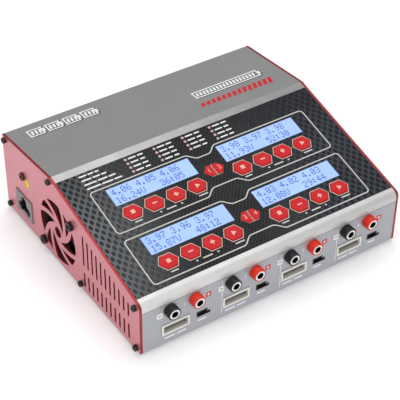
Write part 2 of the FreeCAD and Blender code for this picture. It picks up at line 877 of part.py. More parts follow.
def inlet_spot(name):
    across, up = INLET_PINS[name]
    return inlet_y + across * s.inlet_pin_gap, inlet_low_z + up * s.inlet_pin_rise


flange = prism("inlet_flange", "YZ", inlet_face, s.inlet_rim,
               [rectangle(inlet_y, s.inlet_z, s.inlet_width, s.inlet_height)])
trunk = prism("inlet_trunk", "YZ", inlet_face, s.inlet_depth,
              [rectangle(inlet_y, s.inlet_z, s.inlet_width - 2 * s.inlet_flange,
                         s.inlet_height - 2 * s.inlet_flange)])
lobes = [rod(f"inlet_lobe_{name}", "+X", inlet_face - 1, *inlet_spot(name), s.inlet_lobe, s.inlet_cavity + 1)
         for name in INLET_PINS]
lobes.append(rod("inlet_lobe_middle", "+X", inlet_face - 1, inlet_y, inlet_low_z + s.inlet_pin_rise / 3,
                 s.inlet_middle, s.inlet_cavity + 1))
pin_start = inlet_face + s.pin_recess
pin_length = s.inlet_depth - s.pin_recess + s.contact_tail
pin_tunnels = [rod(f"inlet_tunnel_{name}", "+X", pin_start, *inlet_spot(name),
                   s.inlet_pin_radius + s.running, pin_length) for name in INLET_PINS]
housing_node("mains_inlet", without("mains_inlet", joined("inlet_body", flange, trunk),
                                    joined("inlet_cavity", *lobes), *pin_tunnels))
housing_node("mains_inlet_pins", group("mains_inlet_pins", [
    rod(f"inlet_pin_{name}", "+X", pin_start, *inlet_spot(name), s.inlet_pin_radius, pin_length)
    for name in INLET_PINS]))

dc_face = s.body_width / 2 + s.inlet_rim
dc_back = dc_face - s.dc_depth
dc_outline = rectangle(inlet_y, s.inlet_z, s.dc_width + 2 * s.dc_flange, s.dc_height + 2 * s.dc_flange)
dc_flange = prism("dc_flange_plate", "YZ", dc_face - s.inlet_rim, s.inlet_rim, [dc_outline])
dc_trunk = prism("dc_trunk", "YZ", dc_back, s.dc_depth,
                 [rectangle(inlet_y, s.inlet_z, s.dc_width, s.dc_height)])
dc_cavity = prism("dc_cavity", "YZ", dc_back + s.dc_floor, s.dc_depth,
                  [rectangle(inlet_y, s.inlet_z, s.dc_width - 2 * s.dc_wall, s.dc_height - 2 * s.dc_wall)])
DC_PINS = (-0.5, 0.5)
dc_pin_x = dc_back - s.contact_tail
dc_pin_length = s.dc_depth - s.pin_recess + s.contact_tail
dc_tunnels = [rod(f"dc_tunnel_{side}", "+X", dc_pin_x, inlet_y + side * s.dc_pin_gap, s.inlet_z,
                  s.dc_pin_radius + s.running, dc_pin_length) for side in DC_PINS]
housing_node("dc_input_socket", without("dc_input_socket", joined("dc_body", dc_flange, dc_trunk),
                                        dc_cavity, *dc_tunnels))
housing_node("dc_input_pins", group("dc_input_pins", [
    rod(f"dc_pin_{side}", "+X", dc_pin_x, inlet_y + side * s.dc_pin_gap, s.inlet_z,
        s.dc_pin_radius, dc_pin_length) for side in DC_PINS]))


# ---- front panel and the channels' connectors -----------------------------------------

board_top = s.lower_z + s.lower_port_radius + s.clearance + s.board
balance_z = board_top + s.balance_height / 2
temperature_low = board_top + s.temperature_rise
pin_end = s.balance_depth - s.balance_stand + s.pin_tail
SOCKETS = {"black": 0, "red": 1}


def balance_x(channel):
    return s.balance_x + channel * s.channel_pitch


def temperature_x(channel):
    return s.temperature_x + channel * s.channel_pitch


def socket_x(colour, channel):
    return s.black_x + SOCKETS[colour] * s.socket_pitch + channel * s.channel_pitch


def temperature_outline(x, grow):
    """A socket's face: a rectangle with a lower key to the right."""
    half = s.temperature_width / 2
    low = temperature_low - grow
    step = temperature_low + s.temperature_height / 2 + grow
    top = temperature_low + s.temperature_height + grow
    left = x - half - grow
    right = x + half + grow
    return [(left, low), (right + s.temperature_key, low), (right + s.temperature_key, step),
            (right, step), (right, top), (left, top)]


panel_outlines = [[(-inside, s.wall), (inside, s.wall), (inside, s.seam_z), (-inside, s.seam_z)]]
for channel in CHANNELS:
    for colour in SOCKETS:
        panel_outlines.append(("circle", socket_x(colour, channel), s.socket_z, s.neck_radius + s.clearance))
    panel_outlines.append(rectangle(balance_x(channel), balance_z, s.balance_width + 2 * s.clearance,
                                    s.balance_height + 2 * s.clearance))
    panel_outlines.append(temperature_outline(temperature_x(channel), s.clearance))
housing_node("front_panel", prism("front_panel", "XZ", 0, s.wall, panel_outlines))

# A coloured plastic knob round each output socket, with a neck through the panel.
counterbore = s.sleeve_head + s.sleeve_set_back - s.knob_stand
knob = revolve("knob", [
    (s.sleeve_radius + s.running, -s.knob_stand),
    (s.knob_radius - s.knob_bevel, -s.knob_stand),
    (s.knob_radius, -s.knob_stand + s.knob_bevel),
    (s.knob_radius, 0),
    (s.neck_radius, 0),
    (s.neck_radius, s.wall),
    (s.sleeve_core + s.running, s.wall),
    (s.sleeve_core + s.running, counterbore),
    (s.sleeve_radius + s.running, counterbore),
])
# The plated sleeve that takes the plug, blind at its back, with a tail for its lead.
sleeve_front = s.sleeve_set_back - s.knob_stand
sleeve = revolve("sleeve", [
    (s.plug_radius, sleeve_front),
    (s.sleeve_radius, sleeve_front),
    (s.sleeve_radius, counterbore),
    (s.sleeve_core, counterbore),
    (s.sleeve_core, s.sleeve_tail),
    (0, s.sleeve_tail),
    (0, sleeve_front + s.plug_depth),
    (s.plug_radius, sleeve_front + s.plug_depth),
])
nut = without(
    "nut",
    hexagon_prism("nut_blank", "XZ", size(0), size(0), s.nut_width, s.wall, s.nut_thickness),
    rod("nut_bore", "+Y", 0, s.wall - 1, 0, s.sleeve_core + s.running, s.nut_thickness + 2),
)
lead_reach = s.socket_z - s.sleeve_core - s.clearance - board_top
lead = box("lead", -s.lead_width / 2, pin_end + s.clearance, -s.sleeve_core - s.clearance - lead_reach,
           s.lead_width, s.lead_thickness, lead_reach)


def at_sockets(name, thing, colours=tuple(SOCKETS)):
    """Copies of a piece at the output sockets of the given colours."""
    copies = []
    for colour in colours:
        for channel in CHANNELS:
            one = copy(f"{name}_{colour}_{channel}", thing)
            copies.append(move(one, socket_x(colour, channel), 0, s.socket_z))
    return group(name, copies)


housing_node("black_sockets", at_sockets("black_sockets", knob, ("black",)))
housing_node("red_sockets", at_sockets("red_sockets", knob, ("red",)))
housing_node("socket_sleeves", at_sockets("socket_sleeves", sleeve))
housing_node("socket_nuts", at_sockets("socket_nuts", nut))
housing_node("output_leads", at_sockets("output_leads", lead))


def at_channels(name, thing):
    """Copies of the first channel's piece at all four."""
    return group(name, [move(copy(f"{name}_{channel}", thing), channel * s.channel_pitch)
                        for channel in CHANNELS])


balance_body = prism("balance_body", "XZ", -s.balance_stand, s.balance_depth,
                     [rectangle(balance_x(0), balance_z, s.balance_width, s.balance_height)])
balance_cavity = prism("balance_cavity", "XZ", -s.balance_stand - 1, s.balance_floor + 1,
                       [rectangle(balance_x(0), balance_z, s.balance_width - 2 * s.balance_wall,
                                  s.balance_height - 2 * s.balance_wall)])
balance_pin_count = int(s.balance_pins.value)
pin_face = s.pin_recess - 2 * s.balance_stand
balance_pin_length = pin_end - pin_face


def pin_rows(name, middle, z, count, start, length, grow):
    """Square pins in a row along X."""
    side = s.pin_size + 2 * grow
    return [box(f"{name}_{number}", middle + (number - (count - 1) / 2) * s.pin_pitch - side / 2, start,
                z - side / 2, side, length, side) for number in range(count)]


balance_tunnels = pin_rows("balance_tunnel", balance_x(0), balance_z, balance_pin_count, pin_face,
                           balance_pin_length, s.running)
balance_pins = pin_rows("balance_pin", balance_x(0), balance_z, balance_pin_count, pin_face,
                        balance_pin_length, 0)
housing_node("balance_sockets", at_channels("balance_sockets", without(
    "balance_socket", balance_body, balance_cavity, *balance_tunnels)))
housing_node("balance_pins", at_channels("balance_pins", group("balance_pin_row", balance_pins)))

temperature_body = prism("temperature_body", "XZ", -s.temperature_stand, s.balance_depth,
                         [temperature_outline(temperature_x(0), 0)])
temperature_cavity = prism("temperature_cavity", "XZ", -s.temperature_stand - 1, s.balance_floor + 1,
                           [temperature_outline(temperature_x(0), -s.temperature_wall)])
temperature_z = temperature_low + s.temperature_height / 2
temperature_tunnels = pin_rows("temperature_tunnel", temperature_x(0), temperature_z, 3, pin_face,
                               balance_pin_length, s.running)
temperature_pins = pin_rows("temperature_pin", temperature_x(0), temperature_z, 3, pin_face,
                            balance_pin_length, 0)
housing_node("temperature_sockets", at_channels("temperature_sockets", without(
    "temperature_socket", temperature_body, temperature_cavity, *temperature_tunnels)))
housing_node("temperature_pins", at_channels("temperature_pins", group(
    "temperature_pin_row", temperature_pins)))


# ---- control face ---------------------------------------------------------------------

# The printed film, glued to the cover from side to side.
film_blank = prism("film_blank", "XY", 0, s.film_thickness,
                   [[(-inside, -s.film_top - s.film_length), (inside, -s.film_top - s.film_length),
                     (inside, -s.film_top), (-inside, -s.film_top)]])
film_openings = slope_openings("film_openings", -1, 2, size(0), s.key_clearance)
slope_node("keypad_film", without("keypad_film", film_blank, film_openings))

# Character display modules: glass that reaches up into the cover's windows, in steel bezels.
glasses = []
bezels = []
bezel_top = -s.wall - s.running
for channel, x, y in lcd_places():
    width = s.lcd_width + 2 * s.lcd_margin - 2 * s.clearance
    height = s.lcd_height + 2 * s.lcd_margin - 2 * s.clearance
    glasses.append(box(f"glass_{channel}", x - width / 2, y - height / 2, -s.glass_thickness,
                       width, height, s.glass_thickness))
    border = s.bezel_border
    case = box(f"bezel_blank_{channel}", x - width / 2 - border, y - height / 2 - border, -s.display_drop,
               width + 2 * border, height + 2 * border, s.display_drop + bezel_top)
    room = box(f"bezel_room_{channel}", x - width / 2 - s.running, y - height / 2 - s.running,
               -s.glass_thickness, width + 2 * s.running, height + 2 * s.running, s.glass_thickness)
    bezels.append(without(f"bezel_{channel}", case, room))
slope_node("lcd_glasses", group("lcd_glasses", glasses))
slope_node("lcd_modules", group("lcd_modules", bezels))

# Keys: a cap through the cover, a lip under it and a stem down to its switch.
switch_top = -s.display_drop + s.switch_height
lip_top = -s.wall - s.running
stem_end = switch_top + s.key_travel + s.clearance
switches = []
for name, outline, x, y in key_places():
    cap = prism(name + "_cap", "XY", lip_top - s.key_lip_thickness,
                s.key_stand + s.film_thickness - lip_top + s.key_lip_thickness, [outline(0, 0)])
    top = (s.key_stand + s.film_thickness).value
    dress(cap, "Chamfer", name + "_bevel",
          lambda middle, direction: abs(middle.z - top) < 0.01 and abs(direction.z) < 0.01, s.key_bevel)
    lip = prism(name + "_lip", "XY", lip_top - s.key_lip_thickness, s.key_lip_thickness,
                [outline(s.key_clearance + s.key_lip, s.key_clearance)])
    stem = rod(name + "_stem", "+Z", x, y, stem_end, s.stem_radius, lip_top - s.key_lip_thickness - stem_end)
    slope_node(name, joined(name, cap, lip, stem))
    switches.append(box(name + "_switch", x - s.switch_size / 2, y - s.switch_size / 2, -s.display_drop,
                        s.switch_size, s.switch_size, s.switch_height))
slope_node("key_switches", group("key_switches", switches))
display_top = s.lcd_top - s.display_margin
display_length = key_upper + s.row_pitch + s.key_height / 2 + s.display_margin / 2 - display_top
slope_node("display_board", copy("display_board", box(
    "display_blank", -s.display_width / 2, -display_top - display_length, -s.display_drop - s.board,
    s.display_width, display_length, s.board)))


# ---- boards inside --------------------------------------------------------------------

board_low = board_top - s.board
main_start = s.wall + s.clearance
housing_node("main_board", copy("main_board", box(
    "main_blank", -s.main_width / 2, main_start, board_low, s.main_width, s.main_length, s.board)))
housing_node("power_board", copy("power_board", box(
    "power_blank", -s.power_width / 2, s.power_start, board_low, s.power_width, s.power_length, s.board)))
standoffs = []
for board, width, start, length in (("main", s.main_width, main_start, s.main_length),
                                    ("power", s.power_width, s.power_start, s.power_length)):
    for x_sign in (-1, 1):
        for y_share in (0, 1):
            x = x_sign * (width / 2 - s.board_inset)
            y = start + s.standoff_inset + y_share * (length - s.standoff_inset - s.board_inset)
            standoffs.append(rod(f"{board}_standoff_{x_sign}_{y_share}", "+Z", x, y, s.wall,
                                 s.standoff_radius, board_low - s.wall))
housing_node("board_standoffs", group("board_standoffs", standoffs))

inductors = []
for channel in CHANNELS:
    x = balance_x(channel) + s.inductor_radius
    y = main_start + s.main_length - s.inductor_inset
    inductors.append(without(
        f"inductor_{channel}",
        rod(f"inductor_coil_{channel}", "+Z", x, y, board_top, s.inductor_radius, s.inductor_height),
        rod(f"inductor_eye_{channel}", "+Z", x, y, board_top - 1, s.inductor_radius / 2,
            s.inductor_height + 2)))
housing_node("inductors", group("inductors", inductors))

power_middle = s.power_start + s.power_length / 2
housing_node("transformer", copy("transformer", box(
    "transformer_core", -s.transformer_width / 2, power_middle - s.transformer_length / 2, board_top,
    s.transformer_width, s.transformer_length, s.transformer_height)))
housing_node("capacitors", group("capacitors", [
    rod(f"capacitor_{number}", "+Z", -s.transformer_width / 2 - s.capacitor_gap - s.capacitor_radius,
        power_middle + (number - 0.5) * (2 * s.capacitor_radius + s.capacitor_gap), board_top,
        s.capacitor_radius, s.capacitor_height) for number in range(2)]))


def heatsink(name, y):
    """An extruded sink standing on the power board, its fins towards the back."""
    half = s.sink_width / 2
    pieces = [box(name + "_base", -half, y, board_top, s.sink_width, s.sink_base, s.sink_height)]
    count = int(s.fin_count.value)
    for number in range(count):
        x = -half + number * (s.sink_width - s.fin_thickness) / (count - 1)
        pieces.append(box(f"{name}_fin_{number}", x, y, board_top, s.fin_thickness,
                          s.sink_base + s.fin_length, s.sink_height))
    return joined(name, *pieces)


housing_node("heatsinks", group("heatsinks", [
    heatsink("front_sink", s.power_start + s.sink_inset),
    heatsink("back_sink", s.power_start + s.power_length - s.sink_inset - s.sink_base - s.fin_length)]))


# ---- check every object, then write the files -----------------------------------------

doc.recompute()
for thing in doc.Objects:
    if any(word in thing.State for word in ("Invalid", "Error")):
        raise SystemExit(f"{thing.Name} could not be built: {thing.State}")
os.makedirs("parts", exist_ok=True)
for label, thing in NODES.items():
    shape = thing.Shape
    if shape.isNull() or not shape.isValid():
        raise SystemExit(f"{label} has no valid shape")
    if not shape.Solids:
        raise SystemExit(f"{label} has no solid")
for label, thing in NODES.items():
    thing.Shape.exportStep(f"parts/{label}.step")
print(len(NODES), "nodes")
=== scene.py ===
import json
from math import cos, pi, radians, sin

import bmesh
import bpy
from mathutils import Matrix, Vector


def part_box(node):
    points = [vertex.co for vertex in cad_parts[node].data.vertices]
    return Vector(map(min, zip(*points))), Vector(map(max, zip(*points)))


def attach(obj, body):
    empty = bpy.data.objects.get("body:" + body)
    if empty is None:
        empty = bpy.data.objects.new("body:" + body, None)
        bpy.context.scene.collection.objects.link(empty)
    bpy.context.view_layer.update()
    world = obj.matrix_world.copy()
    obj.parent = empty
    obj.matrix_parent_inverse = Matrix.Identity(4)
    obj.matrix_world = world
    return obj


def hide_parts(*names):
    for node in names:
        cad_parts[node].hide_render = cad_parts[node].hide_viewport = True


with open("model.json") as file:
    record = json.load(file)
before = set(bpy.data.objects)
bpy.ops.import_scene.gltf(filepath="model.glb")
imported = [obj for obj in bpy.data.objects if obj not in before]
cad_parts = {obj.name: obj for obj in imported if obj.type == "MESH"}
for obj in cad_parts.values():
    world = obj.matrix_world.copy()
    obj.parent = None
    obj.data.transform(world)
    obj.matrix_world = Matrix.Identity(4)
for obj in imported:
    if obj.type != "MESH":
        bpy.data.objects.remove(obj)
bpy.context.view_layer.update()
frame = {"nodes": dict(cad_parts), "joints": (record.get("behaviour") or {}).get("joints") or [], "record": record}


# The studio: a plain pale floor, one big soft light overhead, weaker ones from the front and the left
# and a pale surround, with the charger seen from its front left corner and from well above.
MM = 0.001
view_turn = radians(-34.06)
view_height = radians(39.32)
view_roll = radians(0.73)
view_distance = 0.92657
view_target = Vector((-9.893, -13.083, 36.931)) * MM
view_back = Vector((sin(view_turn) * cos(view_height), -cos(view_turn) * cos(view_height),
                    sin(view_height)))
view_right = Vector((cos(view_turn), sin(view_turn), 0))
view_up = view_back.cross(view_right)


def turned(across, along, out):
    """The turn that carries X, Y and Z to three directions."""
    return Matrix((across, along, out)).transposed().to_4x4()


camera_data = bpy.data.cameras.new("camera")
camera_data.lens = 120.75
camera_data.sensor_width = 36
camera_data.clip_end = 20
camera = bpy.data.objects.new("camera", camera_data)
rolled_right = view_right * cos(view_roll) + view_up * sin(view_roll)
rolled_up = view_up * cos(view_roll) - view_right * sin(view_roll)
view_place = Matrix.Translation(view_target + view_back * view_distance)
camera.matrix_world = view_place @ turned(rolled_right, rolled_up, view_back)
bpy.context.scene.collection.objects.link(camera)
bpy.context.scene.camera = camera
bpy.context.scene.view_settings.view_transform = "Standard"


def shade(red, green, blue):
    """A colour given in screen values from 0 to 255, as the shader wants it."""
    return tuple((c / 255 / 12.92 if c < 10.3 else ((c / 255 + 0.055) / 1.055) ** 2.4)
                 for c in (red, green, blue)) + (1,)


class Link:
    """One socket of a finish. An expression on it adds the nodes that work it out."""

    def __init__(self, finish, socket):
        self.finish = finish
        self.socket = socket

    def maths(self, operation, *values):
        return self.finish.node("ShaderNodeMath", {"operation": operation}, dict(enumerate(values)))

    def __add__(self, other):
        return self.maths("ADD", self, other)

    def __sub__(self, other):
        return self.maths("SUBTRACT", self, other)

    def __rsub__(self, other):
        return self.maths("SUBTRACT", other, self)

    def __mul__(self, other):
        return self.maths("MULTIPLY", self, other)

    def __truediv__(self, other):
        return self.maths("DIVIDE", self, other)

    def __lt__(self, other):
        return self.maths("LESS_THAN", self, other)

    def __gt__(self, other):
        return self.maths("GREATER_THAN", self, other)

    def __mod__(self, other):
        return self.maths("FLOORED_MODULO", self, other)

    def __abs__(self):
        return self.maths("ABSOLUTE", self)

    def squared(self):
        return self.maths("MULTIPLY", self, self)

    def ramp(self, low, high, first=0.0, last=1.0):
        """The value carried from low..high to first..last, and held at both ends."""
        return self.finish.node("ShaderNodeMapRange", {"interpolation_type": "SMOOTHSTEP"},
                                {0: self, 1: low, 2: high, 3: first, 4: last})

    __radd__ = __add__
    __rmul__ = __mul__


class Finish:
    """One material, with its surface shader and the nodes that vary it."""

    def __init__(self, name, colour, rough, metal=0.0, extras=None):
        self.material = bpy.data.materials.new(name)
        self.material.use_nodes = True
        self.tree = self.material.node_tree
        self.surface = self.tree.nodes["Principled BSDF"]
        self.feed(self.surface, {"Base Color": colour, "Roughness": rough, "Metallic": metal})
        self.feed(self.surface, extras or {})
        self.colour = colour
        self.place = self.node("ShaderNodeTexCoord", {}, {}, "Object")

    def feed(self, node, values):
        """Sets a node's inputs, each from a link or to a constant."""
        for key, value in values.items():
            if isinstance(value, Link):
                self.tree.links.new(value.socket, node.inputs[key])
            else:
                node.inputs[key].default_value = value

    def node(self, kind, settings, values, out=0):
        """Adds a node and gives back one of its outputs."""
        made = self.tree.nodes.new(kind)
        for key, value in settings.items():
            setattr(made, key, value)
        self.feed(made, values)
        return Link(self, made.outputs[out])

    def axes(self, place=None):
        """The three coordinates of a point, each a link of its own."""
        split = self.tree.nodes.new("ShaderNodeSeparateXYZ")
        self.feed(split, {0: place or self.place})
        return [Link(self, socket) for socket in split.outputs]

    def noise(self, scale, detail=3.0, stretch=(1, 1, 1)):
        """Noise with grains of about 1/scale metre, longer along an axis whose stretch is small."""
        spot = self.node("ShaderNodeMapping", {}, {"Vector": self.place, "Scale": stretch})
        return self.node("ShaderNodeTexNoise", {}, {"Vector": spot, "Scale": scale, "Detail": detail})

    def mix(self, share, first, second):
        return self.node("ShaderNodeMix", {"data_type": "RGBA"}, {0: share, 6: first, 7: second}, 2)

    def paint(self, share, colour):
        """Lays a colour over what the surface has so far, as far as share says."""
        self.colour = self.mix(share, self.colour, colour)
        self.feed(self.surface, {"Base Color": self.colour})
        return self

    def mottle(self, amount, scale=120, tint=(0, 0, 0, 1)):
        """Uneven colour, such as handling, dust and the spread of a dye leave."""
        return self.paint(self.noise(scale, 4).ramp(0.42, 0.75, 0, amount), tint)

    def gloss(self, low, high, scale=60):
        """Roughness that wanders between two values."""
        self.feed(self.surface, {"Roughness": self.noise(scale, 3).ramp(0.3, 0.7, low, high)})
        return self

    def relief(self, height, depth):
        """Small bumps: height runs from 0 to 1 and depth is in metres."""
        shape = {"Height": height, "Distance": depth, "Strength": 1.0}
        bump = self.node("ShaderNodeBump", {}, shape, "Normal")
        self.feed(self.surface, {"Normal": bump})
        return self

    def coat(self, *names):
        """Gives the finish to nodes of the frame."""
        for name in names:
            for entry in frame["nodes"][name].material_slots:
                entry.material = self.material
        return self


floor_finish = Finish("studio_floor", shade(246, 246, 247), 0.9, 0.0,
                      {"Emission Color": shade(255, 255, 255), "Emission Strength": 0.14})
floor_finish.mottle(0.02, 3)
floor_mesh = bmesh.new()
bmesh.ops.create_grid(floor_mesh, x_segments=1, y_segments=1, size=6)
floor_data = bpy.data.meshes.new("floor")
floor_mesh.to_mesh(floor_data)
floor_mesh.free()
floor = bpy.data.objects.new("floor", floor_data)
floor_data.materials.append(floor_finish.material)
bpy.context.scene.collection.objects.link(floor)


def soft_light(name, place, size, power):
    """A round white lamp that shines on the middle of the charger."""
    data = bpy.data.lights.new(name, "AREA")
    data.shape = "DISK"
    data.size = size
    data.energy = power
    lamp = bpy.data.objects.new(name, data)
    lamp.location = place
    aim = Vector((0, 0, 30)) * MM
    lamp.rotation_euler = (aim - Vector(place)).to_track_quat("-Z", "Y").to_euler()
    bpy.context.scene.collection.objects.link(lamp)


soft_light("overhead", (0.3, 0.35, 1.5), 1.5, 12)
soft_light("front", (-0.2, -1.5, 0.9), 1.2, 9)
soft_light("left", (-1.4, -0.2, 0.7), 1.0, 7)
world = bpy.data.worlds.new("surround")
world.use_nodes = True
surround = world.node_tree.nodes["Background"].inputs
surround["Color"].default_value = (1, 1, 1, 1)
surround["Strength"].default_value = 0.5
bpy.context.scene.world = world


# The cover: one bent sheet of aluminium in satin silver grey paint, the deck behind the ridge a darker grey.
# The bands round the control face and the fold over the front edge are painted lighter as painted sheen, and
# darker towards the right as painted shade.
def far_face(node, direction):
    """The middle of the face that a node shows furthest along a direction."""
    points = [v.co for v in frame["nodes"][node].data.vertices]
    reach = max(point.dot(direction) for point in points)
    face = [point for point in points if point.dot(direction) > reach - 0.02 * MM]
    lo = Vector(min(point[i] for point in face) for i in range(3))
    hi = Vector(max(point[i] for point in face) for i in range(3))
    return (lo + hi) / 2


press = next(j for j in frame["joints"] if j["name"] == "channel_1_stop_key_press")
slope_out = -Vector(press["axis"])
slope_up = Vector((0, slope_out.z, -slope_out.y))
ridge = far_face("top_cover", Vector((0, 0, 1)))
cover = Finish("cover_paint", shade(136, 136, 137), 0.42, 0.25)
cover_x, cover_y = cover.axes()[:2]
# Painted sheen on the band round the control face, with painted shade making it darker towards the right.
painted_band_sheen = cover.mix(cover_x.ramp(-80 * MM, 80 * MM), shade(174, 174, 174), shade(130, 130, 130))
# Painted sheen on the fold over the front edge, a little darker towards the right as painted shade.
painted_fold_sheen = cover.mix(cover_x.ramp(-80 * MM, 100 * MM), shade(206, 205, 204), shade(188, 188, 187))
cover.paint(cover_y < ridge.y + 0.15 * MM, painted_band_sheen)
cover.paint(cover_y.ramp(ridge.y - 90 * MM, ridge.y - 15 * MM, 1, 0), painted_fold_sheen)
cover.mottle(0.05, 160, tint=shade(90, 90, 92))
cover.gloss(0.34, 0.5, 40)
cover.relief(cover.noise(2600, 2), 0.00001)
cover.coat("top_cover")


# The front panel and the tray under the cover: the same aluminium, painted a paler grey.
panel = Finish("panel_paint", shade(163, 165, 171), 0.45, 0.2)
panel.mottle(0.06, 160, tint=shade(120, 122, 128))
panel.gloss(0.38, 0.52, 50)
panel.relief(panel.noise(2600, 2), 0.00001)
panel.coat("front_panel", "base_tray")


# The side plates: 2 mm aluminium, cut out, brushed along its length and anodised red. The faces are given a pale
# pink as a painted sheen of the light on the red, and the cut edges are the deeper red.
# Painted sheen: the pale pink base colour of the faces.
side = Finish("red_anodising", shade(193, 120, 127), 0.38, 0.5)
side_normal = side.node("ShaderNodeNewGeometry", {}, {}, "Normal")
across = side.axes(side_normal)[0]
side.paint(abs(across).ramp(0.5, 0.9, 1.0, 0.0), shade(138, 18, 26))
brushing = side.noise(2200, 2, (1, 0.03, 1))
side.paint(brushing.ramp(0.35, 0.75, 0, 0.12), shade(235, 150, 155))
side.mottle(0.08, 120, tint=shade(120, 40, 50))
side.feed(side.surface, {"Roughness": brushing.ramp(0.3, 0.7, 0.28, 0.44)})
side.relief(brushing, 0.000008)
side.coat("left_side_plate", "right_side_plate")


# The feet: moulded black rubber discs with a dull, slightly dusty skin.
rubber = Finish("foot_rubber", shade(30, 30, 31), 0.8)
rubber.mottle(0.25, 260, tint=shade(70, 70, 70)).relief(rubber.noise(3500, 2), 0.00003)
rubber.coat("feet")


# The screws: black oxide cap screws in the plates and fans, and one earthing screw of bronze.
def turned_metal(name, colour, rough, nodes, metal=1.0):
    """A turned and polished part, with fine rings of tool marks."""
    metal_finish = Finish(name, colour, rough, metal)
    marks = metal_finish.noise(4200, 3, (0.15, 1, 1))
    metal_finish.paint(marks.ramp(0.4, 0.8, 0, 0.25), shade(60, 60, 62))
    polish = marks.ramp(0.3, 0.7, rough - 0.08, rough + 0.1)
    metal_finish.feed(metal_finish.surface, {"Roughness": polish})
    metal_finish.relief(marks, 0.000008)
    metal_finish.coat(*nodes)
    return metal_finish


turned_metal("black_oxide", shade(52, 48, 47), 0.36,
             ("left_plate_screws", "right_plate_screws", "left_fan_screws", "right_fan_screws"), 0.8)
turned_metal("earth_screw_bronze", shade(96, 58, 50), 0.4, ("earth_screw",))
turned_metal("plating", shade(225, 224, 222), 0.16, ("socket_nuts",))
turned_metal("contact_metal", shade(205, 190, 140), 0.25,
             ("mains_inlet_pins", "dc_input_pins", "balance_pins", "temperature_pins"))
turned_metal("tinned_copper", shade(190, 165, 140), 0.35, ("output_leads", "heatsinks"))


# The moulded parts: fans and inlets in glass-filled black plastic, sockets in their own colours.
def moulded(name, colour, rough, nodes, grain=2400, depth=0.00002, dust=0.12):
    """Injection moulded plastic, with a fine spark-eroded grain and a little dust."""
    plastic = Finish(name, colour, rough)
    plastic.mottle(dust, 150, tint=shade(120, 118, 115))
    plastic.gloss(rough - 0.07, rough + 0.1, 90)
    plastic.relief(plastic.noise(grain, 3), depth)
    plastic.coat(*nodes)
    return plastic


moulded("fan_plastic", shade(34, 34, 36), 0.5,
        ("left_fan_frame", "right_fan_frame", "left_fan_rotor", "right_fan_rotor"))
inlet = moulded("inlet_plastic", shade(122, 114, 117), 0.5, ("mains_inlet", "dc_input_socket"))
hollow_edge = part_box("right_side_plate")[1].x - 0.2 * MM
# Painted shade: the inlets are painted near black inboard of the side plate's outer face, in their hollows.
inlet.paint(abs(inlet.axes()[0]) < hollow_edge, shade(22, 22, 23))
moulded("temperature_plastic", shade(26, 26, 28), 0.42, ("temperature_sockets",))
ivory = moulded("balance_plastic", shade(228, 226, 218), 0.5, ("balance_sockets",), dust=0.05)
# Painted shade: the inside of each socket is painted a darker grey towards the back.
ivory.paint(ivory.axes()[1].ramp(-90 * MM, -84 * MM), shade(150, 147, 141))
moulded("module_plastic", shade(24, 26, 30), 0.45, ("lcd_modules", "key_switches"))
moulded("capacitor_sleeve", shade(28, 40, 90), 0.3, ("capacitors",), depth=0.000005)
moulded("ferrite", shade(52, 50, 50), 0.75, ("inductors", "transformer"), 1500, 0.00005, 0.3)
moulded("standoff_brass", shade(180, 150, 80), 0.35, ("board_standoffs",), depth=0.000005)


# The circuit boards: glass-fibre sheet under green solder resist, with the copper tracks showing
# through it as a lighter green.
board = Finish("circuit_board", shade(18, 84, 46), 0.35)
track_pitch = 3.2 * MM
track_width = 0.9 * MM
tracks = (board.axes()[0] % track_pitch < track_width) * (board.noise(90, 0) > 0.5)
board.paint(tracks * 0.6, shade(60, 140, 80)).mottle(0.15, 70).relief(tracks, 0.00003)
board.coat("main_board", "power_board", "display_board")


# The black knobs and the red ones: moulded rings, ribbed for the fingers, that screw down over the
# plated sleeve of each output socket.
def centre_of(mount):
    """The middle of a mount, in metres."""
    return Vector(next(m for m in frame["record"]["mounts"] if m["name"] == mount)["pos_m"])


def new_piece(name, mesh, finish, slot, body="housing"):
    """Makes a finished mesh an object that rides on a body."""
    data = bpy.data.meshes.new(name)
    mesh.to_mesh(data)
    mesh.free()
    data.materials.append(finish.material)
    piece = bpy.data.objects.new(name, data)
    bpy.context.scene.collection.objects.link(piece)
    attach(piece, body)
    return piece


sleeve = turned_metal("sleeve_plating", shade(225, 224, 222), 0.16, ())
sleeve_x, sleeve_z = sleeve.axes()[::2]
for mount in [f"output_{c}_{pole}" for c in range(1, 5) for pole in ("negative", "positive")]:
    middle = centre_of(mount)
    off_axis = (sleeve_x - middle.x).squared() + (sleeve_z - middle.z).squared()
    # Painted shadow: a dark ring 2.3 to 2.7 mm round the axis of each sleeve, the shade in its mouth.
    sleeve.paint(off_axis.ramp((2.3 * MM) ** 2, (2.7 * MM) ** 2, 1, 0), shade(26, 26, 27))
sleeve.coat("socket_sleeves")

